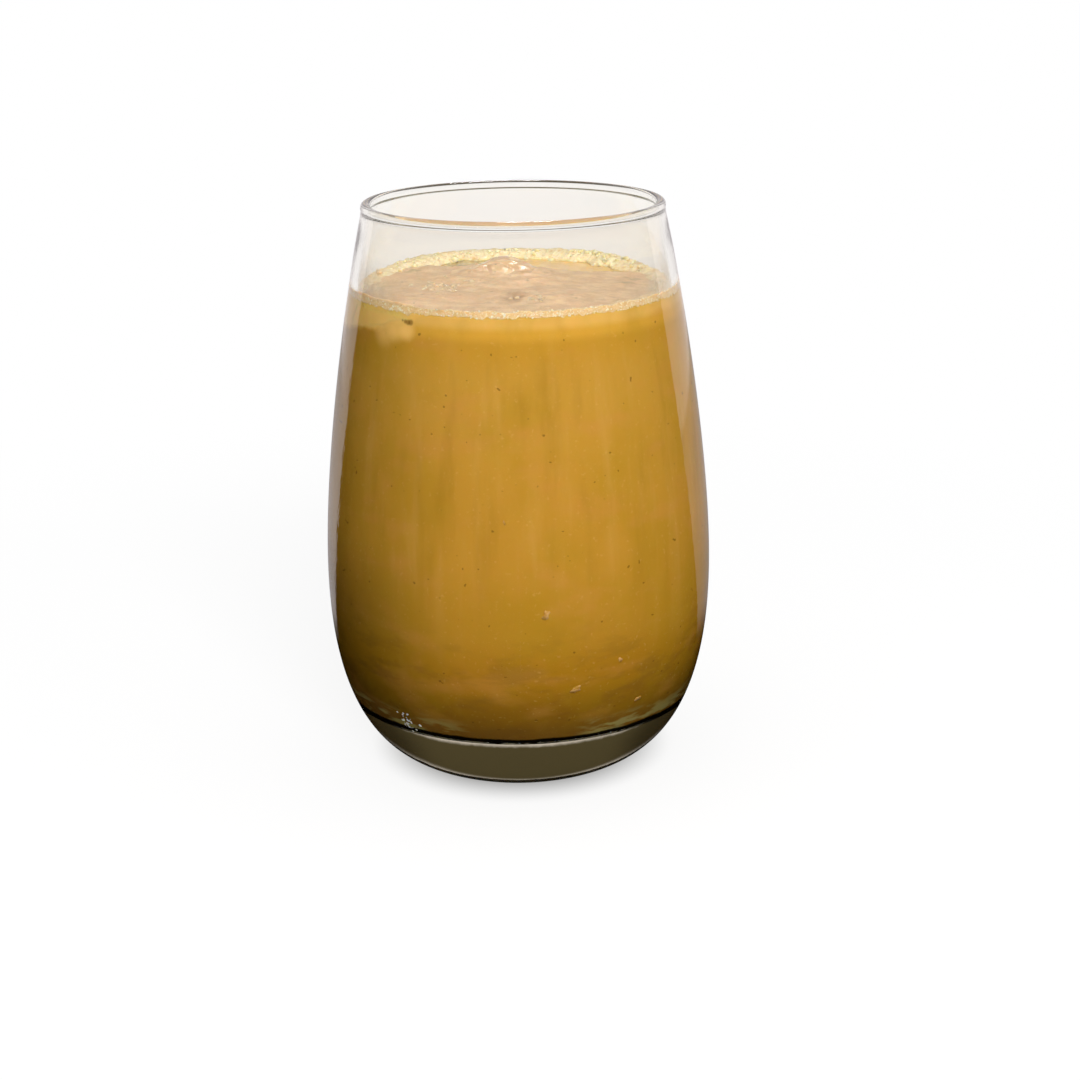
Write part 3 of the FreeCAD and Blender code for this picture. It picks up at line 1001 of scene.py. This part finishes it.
def wall_specks():
    """Fine bubbles against the inside of the glass: spread over the drink's sides, in a chain that rises at
    the front, packed in the froth, and in a cluster low on the left and along the floor's corner, where
    their nearly white colour is a painted sparkle."""
    draw = random.Random(SPECK_SEED)
    places = []

    def add(bearing, height, smallest, largest, bite=0.0):
        places.append((*on_wall(bearing, height, bite), MM * draw.uniform(smallest, largest), 1.0))

    for _ in range(330):
        bearing = draw.uniform(0, 360)
        height = LEVEL - MM * (1 + draw.expovariate(0.07))
        if height > FLOOR + 4 * MM:
            add(bearing, height, 0.07, 0.2)
    for _ in range(60):
        add(draw.gauss(CHAIN_DEG, 1.6), LEVEL - MM * draw.uniform(1.5, 13), 0.08, 0.22)
    for _ in range(900):
        add(draw.uniform(0, 360), LEVEL + MM * draw.uniform(-0.35, 1.0), 0.08, 0.19, FROTH_SPECK_BITE)
    for _ in range(34):
        add(draw.gauss(SPARKLE_DEG, 2.0), FLOOR + MM * draw.uniform(0.4, 4.5), 0.12, 0.36, CORNER_SPECK_BITE)
    for _ in range(40):
        add(draw.uniform(-48, 50), FLOOR + MM * draw.uniform(0.5, 0.9), 0.06, 0.14, CORNER_SPECK_BITE)
    piece = balls("wall_specks", places, 2)
    put(piece, speck_material())


FLAKES = (  # bearing from the front towards +X and turn in degrees, height and size in mm
    (7.5, 70, 41.9, 1.2),
    (17.0, 20, 25.5, 1.3),
    (42.0, 5, 20.2, 0.8),
    (31.0, 130, 30.5, 0.7),
    (-4.0, 110, 60.0, 0.5),
)
FLAKE_POINTS = 22
FLAKE_THICKNESS = 0.25 * MM
FLAKE_MIDDLE_BITE = 0.22 * MM  # how far a flake reaches into the wall at its middle
FLAKE_EDGE_BITE = 0.28 * MM


def flake_material():
    """Pale tan, a little uneven."""
    m = material("milk_flakes")
    shade = m.ramp(m.noise(1.2 * MM), 0.4, 0.6)
    colour = m.mix(shade, srgb(182, 136, 60), srgb(206, 162, 100))
    soak = 0.4, (1.0, 0.6, 0.3), 0.4 * MM
    return m.milky(colour, 0.5, soak, Specular_IOR_Level=0.0)


def flakes():
    """A few pale flakes of milk that lie flat against the glass, each with an uneven outline."""
    vertices, faces = [], []
    for bearing, turn, height_mm, size in FLAKES:
        height = height_mm * MM
        start = len(vertices)
        vertices.append(on_wall(bearing, height, FLAKE_MIDDLE_BITE))
        for i in range(FLAKE_POINTS):
            angle = TURN * i / FLAKE_POINTS
            reach = size * MM * (0.6 + 0.18 * math.cos(2 * (angle - math.radians(turn))))
            reach *= 1 + 0.7 * wobble(math.cos(angle), math.sin(angle), bearing, 0.55)
            lift = reach * math.sin(angle)
            swing = math.degrees(reach * math.cos(angle) / wall_radius(height))
            vertices.append(on_wall(bearing + swing, height + lift, FLAKE_EDGE_BITE))
            faces.append((start, start + 1 + i, start + 1 + (i + 1) % FLAKE_POINTS))
    piece = mesh_piece("milk_flakes", vertices, faces)
    thick = piece.modifiers.new("thick", "SOLIDIFY")
    thick.thickness = FLAKE_THICKNESS
    thick.offset = 0.0
    put(piece, flake_material())


# --- what the froth left on the wall ---
SPLASH_AROUND = 360
SPLASH_ROWS = 14
SPLASH_FOOT = 0.4 * MM  # above the level
SPLASH_HEIGHT = 8 * MM
SPLASH_SKIN = (0.04 * MM, 0.10 * MM)  # how far inside the wall its two faces are
SPLASH_STRENGTH = 0.55


def splash_material():
    """A thin, patchy haze of dried froth: thickest low down and at the two sides, and none at the back."""
    m = material("splash_film")
    patchy = m.ramp(m.noise(3.5 * MM, detail=4.0), 0.25, 0.75, bottom=0.4)
    low = m.ramp(m.axis("Z"), LEVEL + SPLASH_HEIGHT * 0.95, LEVEL + 0.5 * MM)
    sideways = m.ramp(m.sideways(), 19 * MM, 29 * MM)
    near = m.ramp(m.axis("Y"), 10 * MM, -4 * MM)
    shade = m.ramp(m.noise(5 * MM, detail=2.0), 0.4, 0.6)
    shader = m.principled(
        Base_Color=m.mix(shade, srgb(230, 220, 198), srgb(226, 210, 178)),
        Roughness=0.7,
        Specular_IOR_Level=0.0,
        Alpha=m.times(patchy, low, sideways, near, SPLASH_STRENGTH),
    )
    return m.finish(shader)


def splash():
    """A closed skin just inside the glass, above the drink."""
    rows = []
    heights = np.linspace(LEVEL + SPLASH_FOOT, LEVEL + SPLASH_HEIGHT, SPLASH_ROWS)
    for inward, path in zip(SPLASH_SKIN, (heights, heights[::-1])):
        rows += [circle(wall_radius(height) - inward, height, SPLASH_AROUND) for height in path]
    piece = ring_surface("splash_film", rows)
    put(piece, splash_material())


# --- stage ---
FLOOR_SIZE = 24.0
WHITE = (1.0, 1.0, 1.0)
FLOOR_GREY = (0.22, 0.22, 0.22)
FLOOR_GLOW = 0.79  # with the lamps' light on the grey this makes the floor white
FOOT_SHADOW = (19 * MM, 33 * MM)  # from the axis, where the glow rises from its share under the foot
FOOT_GLOW = 0.25
WHITE_FROM = (0.10, 0.30)  # from the axis, where the camera begins to see plain white
WHITE_THROUGH = (0.22, 0.30)  # and where rays through the glass do
DARK_UNDER = (0.28, 0.20)  # and from where those see the floor dark, towards the axis
FLOOR_UNDER_GLASS = (0.065, 0.055, 0.027)  # its colour to them there
MIRROR_START = (75 * MM, 110 * MM)  # from the axis, where the bright wall begins on the floor,
MIRROR_FULL = (100 * MM, 240 * MM)  # where its low part reaches its full strength,
MIRROR_STEP = (480 * MM, 560 * MM)  # and where its high part takes over
BEHIND_FROM = (0.25, 0.29)  # the Z of the directions in which a dark band lies behind the glass,
BEHIND_TO = (0.50, 0.45)  # which its base shows by mirroring at its underside
DARK_BEHIND = (0.13, 0.115, 0.06)
CEILING_FROM = (0.05, 0.40)  # Z of the directions, and
CEILING_SIDES = (0.3, 0.7)  # X of them to either side, in which the ceiling is dimmer through the glass
CEILING_THROUGH_GLASS = 0.45


def mirrored_floor(m, away):
    """How bright the floor is to mirrored rays: the bright wall's low part, and its high part beyond."""
    gain = m.ramp(m.slant(), *MIRROR_GAIN_OVER, bottom=1.0, top=MIRROR_GAIN)
    low = m.times(gain, m.ramp(away, *MIRROR_FULL, bottom=0.7), MIRROR_STRENGTH)
    high = m.ramp(away, *MIRROR_STEP)
    level = m.plus(m.times(low, m.math("SUBTRACT", 1.0, high)), m.times(high, MIRROR_ABOVE))
    return m.times(m.bright_wall(), m.ramp(away, *MIRROR_START), level)


def floor_material():
    """White to the camera, with the object's shadow. Through the glass it is dark close by and white
    beyond, and mirrored rays see the bright wall in it."""
    m = material("pale_floor")
    away = m.away_from(0, 0, 0)
    straight, through = m.rays("Is Camera Ray"), m.rays("Is Transmission Ray")
    grey = m.mix(m.times(m.ramp(away, *DARK_UNDER), through), FLOOR_GREY, FLOOR_UNDER_GLASS)
    glow = m.times(m.ramp(away, *FOOT_SHADOW, bottom=FOOT_GLOW), straight)
    glow = m.plus(glow, m.times(m.ramp(away, *DARK_UNDER[::-1]), through))
    matt = m.shader("BsdfDiffuse", Color=grey)
    glowing = m.shader("Emission", Strength=m.times(glow, FLOOR_GLOW))
    shaded = m.call("AddShader", 0, {0: matt, 1: glowing})
    seen = m.times(m.ramp(away, *WHITE_FROM), straight)
    seen = m.plus(seen, m.times(m.ramp(away, *WHITE_THROUGH), through))
    plain = m.shaders(seen, shaded, m.shader("Emission", Strength=1.0))
    mirror = m.shader("Emission", Color=MIRROR_TINT, Strength=mirrored_floor(m, away))
    return m.finish(m.shaders(m.mirror_rays(), plain, mirror))


def floor():
    """One large face under the part, which belongs to the stage."""
    mesh = bpy.data.meshes.new("floor")
    side = FLOOR_SIZE / 2
    corners = [(-side, -side, 0), (side, -side, 0), (side, side, 0), (-side, side, 0)]
    mesh.from_pydata(corners, [], [(0, 1, 2, 3)])
    piece = new_object("floor", mesh)
    put(piece, floor_material())


def world():
    """White to the camera. Rays through the glass see a dark band behind and a dimmer ceiling at the
    sides, mirrored rays see the bright wall, and all others give the soft light on the object."""
    made = bpy.data.worlds.new("studio")
    bpy.context.scene.world = made
    w = Nodes(made, "OutputWorld", "Generated")
    up = w.axis("Z")
    behind = w.times(w.ramp(up, *BEHIND_FROM), w.ramp(up, *BEHIND_TO))
    colour = w.mix(behind, WHITE, DARK_BEHIND)
    overhead = w.times(w.ramp(up, *CEILING_FROM), w.ramp(w.sideways(), *CEILING_SIDES))
    ceiling = w.ramp(overhead, 0.0, 1.0, bottom=1.0, top=CEILING_THROUGH_GLASS)
    wall = w.plus(w.times(w.bright_wall(), MIRROR_ABOVE), MIRROR_REST)
    sky = w.ramp(up, 0.0, 1.0, bottom=SIDE_STRENGTH, top=SKY_STRENGTH)
    result = w.shader("Background", Color=SKY_GREY, Strength=sky)
    for rays, tint, strength in (
        (w.mirror_rays(), MIRROR_TINT, wall),
        (w.rays("Is Transmission Ray"), colour, ceiling),
        (w.rays("Is Camera Ray"), WHITE, 1.0),
    ):
        shown = w.shader("Background", Color=tint, Strength=strength)
        result = w.shaders(rays, result, shown)
    w.finish(result)


def lamp(name, place, side, watts):
    """A square lamp, aimed at the middle of the part."""
    data = bpy.data.lights.new(name, "AREA")
    data.shape = "RECTANGLE"
    data.size = data.size_y = side
    data.energy = watts
    made = new_object(name, data)
    made.location = place
    aim = Vector((0, 0, RIM_HEIGHT / 2)) - Vector(place)
    made.rotation_euler = aim.to_track_quat("-Z", "Y").to_euler()
    return made


def lights():
    key = lamp("key", KEY_PLACE, KEY_SIDE, KEY_WATTS)
    key.visible_glossy = False
    key.visible_transmission = False
    spark = lamp("spark", SPARK_PLACE, SPARK_SIDE, SPARK_WATTS)
    spark.visible_diffuse = False
    spark.visible_transmission = False


def camera():
    data = bpy.data.cameras.new("camera")
    data.sensor_width = CAMERA_SENSOR_MM
    data.lens = CAMERA_LENS_MM
    data.clip_start, data.clip_end = CAMERA_CLIP
    made = new_object("camera", data)
    turn = Matrix.Rotation(-math.radians(CAMERA_TURN_DEG), 4, "Z")
    tip = Matrix.Rotation(math.radians(90 - CAMERA_DOWN_DEG), 4, "X")
    roll = Matrix.Rotation(math.radians(CAMERA_ROLL_DEG), 4, "Z")
    made.matrix_world = Matrix.Translation((0, -CAMERA_DISTANCE, CAMERA_HEIGHT)) @ turn @ tip @ roll
    bpy.context.scene.camera = made


def main():
    bpy.context.scene.view_settings.view_transform = "Standard"
    glass()
    trees = ice()
    drink()
    film(trees)
    froth()
    bubbles(trees)
    wall_specks()
    flakes()
    splash()
    floor()
    world()
    lights()
    camera()


main()
